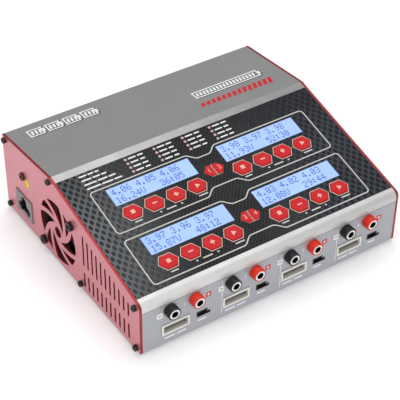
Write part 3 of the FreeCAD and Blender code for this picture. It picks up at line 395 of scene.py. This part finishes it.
knob_ribs = 18
rib_depth = 0.84
black_knob_plastic = moulded("black_knob_plastic", shade(24, 24, 26), 0.36, ())
red_knob_plastic = moulded("red_knob_plastic", shade(214, 48, 24), 0.36, ())
panel_front = far_face("front_panel", Vector((0, -1, 0))).y
for colour, pole, knob_plastic in (("black", "negative", black_knob_plastic),
                                   ("red", "positive", red_knob_plastic)):
    old_knobs = colour + "_sockets"
    knob_lo, knob_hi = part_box(old_knobs)
    knob_radius = (knob_hi.z - knob_lo.z) / 2
    knob_height = (knob_hi.z + knob_lo.z) / 2
    sleeve_lo, sleeve_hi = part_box("socket_sleeves")
    sleeve_radius = (sleeve_hi.z - sleeve_lo.z) / 2 + 0.05 * MM
    for channel in range(1, 5):
        knob = bmesh.new()
        bmesh.ops.create_circle(knob, segments=knob_ribs * 4, radius=knob_radius)
        ring = knob.edges[:]
        for i, vertex in enumerate(knob.verts):
            if i % 4 in (0, 1):
                vertex.co *= rib_depth
        start = ring
        bevel = 0.5 * MM
        length = panel_front - knob_lo.y
        for radius_share, depth in ((1, length - bevel), (1 - bevel / knob_radius, bevel), (0, 0),
                                    (1, 1.2 * MM - length)):
            made = bmesh.ops.extrude_edge_only(knob, edges=ring)["geom"]
            fresh = [g for g in made if isinstance(g, bmesh.types.BMVert)]
            ring = [g for g in made if isinstance(g, bmesh.types.BMEdge) and not g.is_manifold]
            for vertex in fresh:
                flat = Vector((vertex.co.x, vertex.co.y, 0))
                flat = flat.normalized() * sleeve_radius if radius_share == 0 else flat * radius_share
                vertex.co = Vector((flat.x, flat.y, vertex.co.z + depth))
        bmesh.ops.bridge_loops(knob, edges=start + ring)
        bmesh.ops.recalc_face_normals(knob, faces=knob.faces)
        place = centre_of(f"output_{channel}_{pole}")
        bmesh.ops.transform(knob, verts=knob.verts, matrix=Matrix.Translation(
            (place.x, panel_front, knob_height)) @ Matrix.Rotation(pi / 2, 4, "X"))
        piece = new_piece(f"{colour}_knob_{channel}", knob, knob_plastic, "knob_" + colour)
        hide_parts(old_knobs)


# The control film: matt black polyester with a printed mesh of oval holes, which are bigger and stand
# on a paler ground towards the ends of the face. The pale ground is much lighter at the left end as a painted
# sheen, and darker at the right as painted shade.
def slope_place(point):
    """A point as (x, up the slope from the ridge, out of it), in millimetres."""
    away = (point - ridge) / MM
    return Vector((away.x, away.dot(slope_up), away.dot(slope_out)))


slope_sheet = (Matrix.Translation(ridge) @ turned(Vector((1, 0, 0)), slope_up, slope_out)
               @ Matrix.Scale(MM, 4))
film = Finish("control_film", shade(10, 11, 12), 0.5, 0.0, {"Specular IOR Level": 0.15})
film_x, film_y = film.axes()[:2]
down = (ridge.y - film_y) / slope_out.z
ends = abs(film_x + down * 0.25).ramp(0.018, 0.100)
# Printed paler ground at the ends, with painted sheen at the left end and painted shade at the right.
pale_ground_and_falloff = film.mix(film_x.ramp(-60 * MM, 60 * MM), shade(104, 107, 110), shade(52, 55, 64))
film.paint(ends * down.ramp(0.0, 0.06, 0.45, 1), pale_ground_and_falloff)


def holes(wide, high, pitch_x, pitch_y):
    """Two interleaved rows of printed ovals, in millimetres: 1 inside and 0 between them."""
    rows = []
    for half in (0, 0.5):
        aside = ((film_x / (pitch_x * MM) + half) % 1.0 - 0.5) * (pitch_x / wide * 2)
        below = ((down / (pitch_y * MM) + half) % 1.0 - 0.5) * (pitch_y / high * 2)
        rows.append((aside.squared() + below.squared()).ramp(0.6, 1.3, 1, 0))
    return rows[0] + rows[1]


film.paint(holes(2.7, 4.2, 5.6, 7.0) * ends, shade(13, 14, 17))
film.paint((1 - ends) * (1 - holes(1.8, 2.4, 2.9, 3.6)), shade(44, 46, 50))
film.mottle(0.06, 160, tint=shade(70, 72, 76))
film.gloss(0.42, 0.58, 50)
film.relief(film.noise(3000, 2), 0.000006)
film.coat("keypad_film")


# The display glasses: clear windows over liquid crystal modules, in pale blue with a painted glow that sets how
# bright they look.
glass = Finish("display_glass", shade(112, 140, 198), 0.14, 0.0,
               {"Specular IOR Level": 0.3, "Emission Strength": 0.5})
# Painted light: the glow that brightens the display, a little uneven across it.
painted_display_glow = glass.mix(glass.noise(35, 1).ramp(0.3, 0.7), shade(164, 196, 255), shade(182, 210, 255))
glass.feed(glass.surface, {"Emission Color": painted_display_glow})
glass.mottle(0.05, 90, tint=shade(110, 140, 210))
glass.coat("lcd_glasses")


# The keys: glossy red caps of silicone rubber, moulded in one piece with the lip that holds them
# under the film.
key_finish = Finish("key_rubber", shade(192, 6, 20), 0.35, 0.0, {"Specular IOR Level": 0.2})
key_finish.mottle(0.10, 300, tint=shade(120, 8, 18)).gloss(0.3, 0.42, 120)
key_finish.relief(key_finish.noise(2200, 2), 0.000012)
KEYS = [f"channel_{c}_{what}_key" for c in range(1, 5)
        for what in ("stop", "down", "up", "start", "select")]
key_finish.coat(*KEYS)


# Printing: screen-printed ink, thin enough to feel with a fingernail. Each print is drawn flat in
# millimetres, given the thickness of the ink, and laid on its surface.
class Print:
    """One colour of ink on one surface, drawn flat."""

    def __init__(self):
        self.mesh = bmesh.new()

    def patch(self, points):
        """A filled outline."""
        face = self.mesh.faces.new([self.mesh.verts.new((x, y, 0)) for x, y in points])
        face.normal_update()
        return face

    def bar(self, x, y, wide, high, slant=0.0):
        """A filled bar about its centre, which may lean to the right."""
        lean = slant * high / 2
        return self.patch([(x - wide / 2 - lean, y - high / 2), (x + wide / 2 - lean, y - high / 2),
                           (x + wide / 2 + lean, y + high / 2), (x - wide / 2 + lean, y + high / 2)])

    def line(self, points, width):
        """A closed line of even width, drawn inwards from its outline."""
        face = self.patch(points)
        bmesh.ops.inset_region(self.mesh, faces=[face], thickness=width, use_boundary=True,
                                use_even_offset=True)
        bmesh.ops.delete(self.mesh, geom=[face], context="FACES")

    def word(self, text, x, y, size):
        """Plain figures, centred on a point."""
        letters = bpy.data.curves.new("figures", "FONT")
        letters.body = text
        letters.size = size
        letters.align_x = "CENTER"
        letters.align_y = "CENTER"
        letters.resolution_u = 3
        stand_in = bpy.data.objects.new("figures", letters)
        bpy.context.scene.collection.objects.link(stand_in)
        bpy.context.view_layer.update()
        solved = stand_in.evaluated_get(bpy.context.evaluated_depsgraph_get())
        drawn = bpy.data.meshes.new_from_object(solved)
        bpy.data.objects.remove(stand_in)
        drawn.transform(Matrix.Translation((x, y, 0)))
        self.mesh.from_mesh(drawn)
        bpy.data.meshes.remove(drawn)

    def lay(self, name, place, ink, slot, body="housing", thick=0.05, lift=0.0):
        """Thickens the drawing into ink and lays it on its surface."""
        bmesh.ops.remove_doubles(self.mesh, verts=self.mesh.verts, dist=0.001)
        bmesh.ops.recalc_face_normals(self.mesh, faces=self.mesh.faces)
        for face in self.mesh.faces:
            if face.normal.z < 0:
                face.normal_flip()
        bmesh.ops.solidify(self.mesh, geom=self.mesh.faces[:], thickness=thick)
        bmesh.ops.recalc_face_normals(self.mesh, faces=self.mesh.faces)
        low = min(v.co.z for v in self.mesh.verts)
        bmesh.ops.transform(self.mesh, verts=self.mesh.verts,
                            matrix=place @ Matrix.Translation((0, 0, lift - low)))
        return new_piece(name, self.mesh, ink, slot, body)


def ink(name, colour, rough=0.5):
    """Opaque printing ink, a little uneven where the squeegee passed."""
    made = Finish(name, colour, rough, 0.0, {"Specular IOR Level": 0.25})
    made.mottle(0.08, 400, tint=shade(110, 110, 110)).relief(made.noise(5000, 2), 0.000005)
    return made


white_ink = ink("white_ink", shade(226, 226, 224))
line_ink = ink("line_ink", shade(196, 194, 189))
cream_ink = ink("cream_ink", shade(216, 200, 184))
symbol_ink = ink("symbol_ink", shade(232, 176, 158))
pink_ink = ink("pink_ink", shade(196, 160, 162))
red_ink = ink("red_ink", shade(196, 24, 32))
black_ink = ink("black_ink", shade(28, 28, 30))
yellow_ink = ink("yellow_ink", shade(232, 190, 20))
dot_ink = ink("display_dots", shade(62, 92, 190), 0.4)


def arc(x, y, radius, start, end, steps=6):
    """Points along an arc, with its angles in degrees."""
    turns = [radians(start + (end - start) * i / steps) for i in range(steps + 1)]
    return [(x + radius * cos(a), y + radius * sin(a)) for a in turns]


# The lines on the film: a pale border round each pair of channels, which narrows in the middle, and
# a cream outline round every key.
key_tops = {name: slope_place(far_face(name, slope_out)) for name in KEYS}
windows = {}
for channel in range(1, 5):
    east = channel in (2, 4)
    north = channel < 3
    points = [slope_place(v.co) for v in frame["nodes"]["lcd_glasses"].data.vertices]
    mid = (min(p.y for p in points) + max(p.y for p in points)) / 2
    points = [p for p in points if (p.x > 0) == east and (p.y > mid) == north]
    windows[channel] = (min(p.x for p in points), min(p.y for p in points),
                        max(p.x for p in points), max(p.y for p in points))
FILM_TOP = slope_place(far_face("keypad_film", slope_out)).z
left_edge = -87.9
right_edge = 87.3
corner = 3.0


def shoulder(x, flat, foot):
    """1 along the flat middle of a border, and 0 past the foot of its curve."""
    share = min(max((foot - abs(x - (left_edge + right_edge) / 2)) / (foot - flat), 0), 1)
    return share * share * (3 - 2 * share)


# For each row's left channel: how far its border stands above and below the window, and how far its
# top dips and its foot rises in the middle.
BORDERS = {1: (2.2, 20.7, 5.4, 5.6), 3: (2.4, 21.0, 5.4, 5.7)}
borders = Print()
for row, (above, below, dip, rise) in BORDERS.items():
    x_lo, y_lo, x_hi, y_hi = windows[row]
    top = y_hi + above
    bottom = y_lo - below
    steps = range(-20, 21)
    outline = arc(left_edge + corner, bottom + corner, corner, 270, 180)
    outline += arc(left_edge + corner, top - corner, corner, 180, 90)
    outline += [(x, top - dip * shoulder(x, 4, 12.5)) for x in steps]
    outline += arc(right_edge - corner, top - corner, corner, 90, 0)
    outline += arc(right_edge - corner, bottom + corner, corner, 0, -90)
    outline += [(x, bottom + rise * shoulder(x, 8.5, 17.5)) for x in reversed(steps)]
    borders.line(outline, 0.85)
borders.lay("film_borders", slope_sheet, line_ink, "film_black", lift=FILM_TOP)

key_half = 7.85
key_rise = 6.05
key_flat = 4.2
twin_half = 7.9
twin_rise = 4.9
twin_flat = 4.1
twin_gap = 0.15
outlines = Print()
for channel in range(1, 5):
    for what in ("stop", "down", "up", "start"):
        x, y, z = key_tops[f"channel_{channel}_{what}_key"]
        outlines.line([(x - key_half, y), (x - key_flat, y - key_rise), (x + key_flat, y - key_rise),
                       (x + key_half, y), (x + key_flat, y + key_rise), (x - key_flat, y + key_rise)],
                      0.46)
for left_key, right_key in ((1, 2), (3, 4)):
    a = key_tops[f"channel_{left_key}_select_key"]
    b = key_tops[f"channel_{right_key}_select_key"]
    x = (a.x + b.x) / 2
    for way in (-1, 1):
        corners = [(x + way * twin_gap, a.y - twin_rise), (x + way * twin_flat, a.y - twin_rise),
                   (x + way * twin_half, a.y), (x + way * twin_flat, a.y + twin_rise),
                   (x + way * twin_gap, a.y + twin_rise)]
        outlines.line(corners if way > 0 else corners[::-1], 0.4)
outlines.lay("key_outlines", slope_sheet, cream_ink, "film_black", lift=FILM_TOP)


# The small marks on the film: rows of dashes with dots between the columns in place of the table of
# ratings, and arrows and dashes under the keys.
table = Print()
dots = Print()
captions = Print()
film_head = slope_place(far_face("keypad_film", slope_up)).y
caption_widths = (16.0, 20.0, 25.0, 28.0)
caption_drop = 7.9
dash_height = 1.15
for line_number, caption in enumerate(caption_widths):
    y = film_head - 2.6 - 3.75 * line_number
    x = -87.5
    for share in (0.42, 0.33, 0.25):
        table.bar(x + caption * share / 2, y, caption * share - 1.0, dash_height)
        x += caption * share
    for column, column_x in enumerate((-51.0, -28.0, -5.0, 17.5)):
        table.bar(column_x + 5.2, y, 6.0, dash_height)
        table.bar(column_x + 11.6, y, 4.4 - 0.6 * (line_number % 2), dash_height)
        dots.patch(arc(column_x, y, 1.1, 0, 330, 11))
for channel in range(1, 5):
    for what, wide in (("stop", 5.6), ("start", 7.2)):
        x, y, z = key_tops[f"channel_{channel}_{what}_key"]
        captions.bar(x, y - caption_drop, wide, 1.0)
    left_x, y, z = key_tops[f"channel_{channel}_down_key"]
    right_x = key_tops[f"channel_{channel}_up_key"].x
    captions.bar((left_x + right_x) / 2, y - caption_drop, 7.4, 1.0)
    for x, way in ((left_x, -1), (right_x, 1)):
        tip = [(x + way * 0.9, y - caption_drop), (x - way * 0.8, y - caption_drop + 0.9),
               (x - way * 0.8, y - caption_drop - 0.9)]
        captions.patch(tip if way < 0 else tip[::-1])
table.lay("film_marks", slope_sheet, white_ink, "film_black", lift=FILM_TOP)
dots.lay("film_dots", slope_sheet, pink_ink, "film_black", lift=FILM_TOP)
captions.lay("key_captions", slope_sheet, line_ink, "film_black", lift=FILM_TOP)


# The key symbols: a square to stop, a minus and a plus to set, an arrow to start, and the channel's
# own number on the twin keys.
for name, top in key_tops.items():
    channel, what = name.split("_")[1:3]
    symbol = Print()
    if what == "stop":
        symbol.bar(0, 0, 3.0, 3.0)
    elif what == "down":
        symbol.bar(0, 0, 3.6, 1.0)
    elif what == "up":
        symbol.patch([(-1.8, -0.5), (-0.5, -0.5), (-0.5, -1.8), (0.5, -1.8), (0.5, -0.5), (1.8, -0.5),
                      (1.8, 0.5), (0.5, 0.5), (0.5, 1.8), (-0.5, 1.8), (-0.5, 0.5), (-1.8, 0.5)])
    elif what == "start":
        symbol.patch([(-1.3, -1.9), (2.0, 0), (-1.3, 1.9)])
    else:
        symbol.word(channel, 0, 0, 5.0)
    place = slope_sheet @ Matrix.Translation((top.x, top.y, top.z))
    symbol.lay(name + "_symbol", place, symbol_ink, "key_red", name, 0.04)


# The readings: liquid crystal dots in two lines of sixteen places, each five dots wide and seven
# high. They show three cells' volts, the pack's volts and the minutes.
GLYPHS = {
    "0": "01110 10001 10011 10101 11001 10001 01110", "1": "00100 01100 00100 00100 00100 00100 01110",
    "2": "01110 10001 00001 00110 01000 10000 11111", "3": "01110 10001 00001 00110 00001 10001 01110",
    "4": "00010 00110 01010 10010 11111 00010 00010", "5": "11111 10000 11110 00001 00001 10001 01110",
    "6": "00110 01000 10000 11110 10001 10001 01110", "7": "11111 00001 00010 00100 01000 01000 01000",
    "8": "01110 10001 10001 01110 10001 10001 01110", "9": "01110 10001 10001 01111 00001 00010 01100",
    ".": "00000 00000 00000 00000 00000 01100 01100", ":": "00000 01100 01100 00000 01100 01100 00000",
    "V": "10001 10001 10001 10001 10001 01010 00100"}
READINGS = {1: ("4.06 4.05 4.06", "16.24V   36:05"), 2: ("3.98 3.97 3.98", "11.93V   52:30"),
            3: ("3.97 3.96 3.97", "15.87V   48:12"), 4: ("4.03 4.02 4.03", "12.08V   29:44")}
for channel, lines in READINGS.items():
    x_lo, y_lo, x_hi, y_hi = windows[channel]
    wide = x_hi - x_lo
    high = y_hi - y_lo
    place_width = wide * 0.93 / 16
    dot = place_width / 6.1
    dot_high = high * 0.0475
    reading = Print()
    for line_number, text in enumerate(lines):
        line_top = y_hi - high * (0.11 + 0.44 * line_number)
        for place_number, character in enumerate(text):
            place_left = x_lo + wide * 0.045 + place_number * place_width
            for j, dots_across in enumerate(GLYPHS.get(character, "").split()):
                for i, lit in enumerate(dots_across):
                    if lit == "1":
                        reading.bar(place_left + (i + 0.5) * dot, line_top - (j + 0.5) * dot_high,
                                    dot * 0.98, dot_high * 0.96)
    reading.lay(f"channel_{channel}_reading", slope_sheet, dot_ink, "display_glass",
                lift=slope_place(far_face("lcd_glasses", slope_out)).z, thick=0.02)


# The front panel's printing: a white and a red square for the poles, fine lines between the
# channels, and dashes under the sockets.
front_sheet = (Matrix.Translation((0, panel_front, 0)) @ Matrix.Rotation(pi / 2, 4, "X")
               @ Matrix.Scale(MM, 4))
panel_lo, panel_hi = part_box("front_panel")
front_white = Print()
front_red = Print()
front_black = Print()
front_light = Print()
for channel in range(1, 5):
    minus = centre_of(f"output_{channel}_negative") / MM
    plus = centre_of(f"output_{channel}_positive") / MM
    sense = centre_of(f"balance_{channel}") / MM
    probe = centre_of(f"temperature_{channel}") / MM
    sign_x = minus.x - 7.6
    sign_z = minus.z - 2.8
    front_white.bar(sign_x, sign_z, 4.2, 4.2)
    front_black.bar(sign_x, sign_z, 2.4, 0.6)
    sign_x = plus.x + 10.6
    sign_z = plus.z - 2.3
    front_red.bar(sign_x, sign_z, 4.0, 4.0)
    front_white.bar(sign_x, sign_z, 2.6, 0.6)
    for side_of_bar in (1, -1):
        front_white.bar(sign_x, sign_z + 0.8 * side_of_bar, 0.6, 1.0)
    front_light.word(str(channel), (minus.x + plus.x) / 2 + 1.9, minus.z - 1.6, 4.2)
    for dash_x, wide in ((sense.x - 4.4, 8.0), (sense.x + 4.6, 7.0)):
        front_light.bar(dash_x, sense.z - 8.2, wide, 1.2)
    front_light.bar(probe.x, probe.z - 5.4, 6.4, 1.2)
    if channel < 4:
        next_minus = centre_of(f"output_{channel + 1}_negative") / MM
        front_light.bar((plus.x + next_minus.x) / 2 + 7.3, (panel_lo.z + panel_hi.z) / 2 / MM,
                        0.5, (panel_hi.z - panel_lo.z) / MM - 3)
front_red.lay("front_red_prints", front_sheet, red_ink, "panel_grey")
front_white.lay("front_white_prints", front_sheet, white_ink, "panel_grey", lift=0.05)
front_black.lay("front_black_prints", front_sheet, black_ink, "panel_grey", lift=0.1)
light_ink = ink("light_ink", shade(222, 224, 228))
front_light.lay("front_light_prints", front_sheet, light_ink, "panel_grey")


# The deck's decoration: four white cells behind the left corner, and near the right one a white
# battery and a red level scale. Each white mark has a dark shadow printed under it.
deck_face = max((f for f in frame["nodes"]["top_cover"].data.polygons
                 if f.center.y > ridge.y and f.normal.z > 0.9), key=lambda f: f.area)
deck_out = deck_face.normal.copy()
deck_back = Vector((0, deck_out.z, -deck_out.y))
deck_sheet = (Matrix.Translation(ridge) @ turned(Vector((1, 0, 0)), deck_back, deck_out)
              @ Matrix.Scale(MM, 4))


def cell(print_layer, x, y, wide, high, filled):
    """A battery cell on its side: an outline, its cap and its charge."""
    print_layer.line([(x, y), (x + wide, y), (x + wide, y + high), (x, y + high)], 1.3)
    print_layer.bar(x + wide + 0.7, y + high / 2, 1.4, high * 0.45)
    for i in range(filled):
        print_layer.bar(x + 3.2 + 2.9 * i, y + high / 2, 2.0, high - 4.4, 0.15)


DECK_LAYERS = (("deck_shadow", black_ink, 0.7, 0.0), ("deck_white", white_ink, 0, 0.05))
for layer_name, ink_used, shift, lift in DECK_LAYERS:
    layer = Print()
    for i in range(4):
        cell(layer, -90.5 + 14.2 * i + shift, 51.5 - shift, 11.6, 9.5, 3)
    cell(layer, 30 + shift, 25.5 - shift, 57, 9, 18)
    layer.lay(layer_name, deck_sheet, ink_used, "cover_grey", lift=lift)
scale_marks = Print()
for i in range(14):
    scale_marks.bar(29 + 4.5 * i, 16, 3.0, 4.6 + 0.24 * i, 0.35)
scale_marks.lay("deck_red", deck_sheet, red_ink, "cover_grey")


# The earth label: a plain yellow disc with a dark ring, stuck on the left plate beside the screw.
plate_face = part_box("left_side_plate")[0].x
earth_lo, earth_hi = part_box("earth_screw")
earth_middle = (earth_lo + earth_hi) / 2
left_sheet = (Matrix.Translation((plate_face, earth_middle.y, earth_middle.z))
              @ turned(Vector((0, -1, 0)), Vector((0, 0, 1)), Vector((-1, 0, 0))) @ Matrix.Scale(MM, 4))
label = Print()
label.patch(arc(5.7, -3.2, 3.75, 0, 352, 44))
label.lay("earth_label", left_sheet, yellow_ink, "anodised_red")
label_ring = Print()
label_ring.line(arc(5.7, -3.2, 3.3, 0, 352, 44), 0.4)
label_ring.lay("earth_label_ring", left_sheet, black_ink, "anodised_red", lift=0.05)
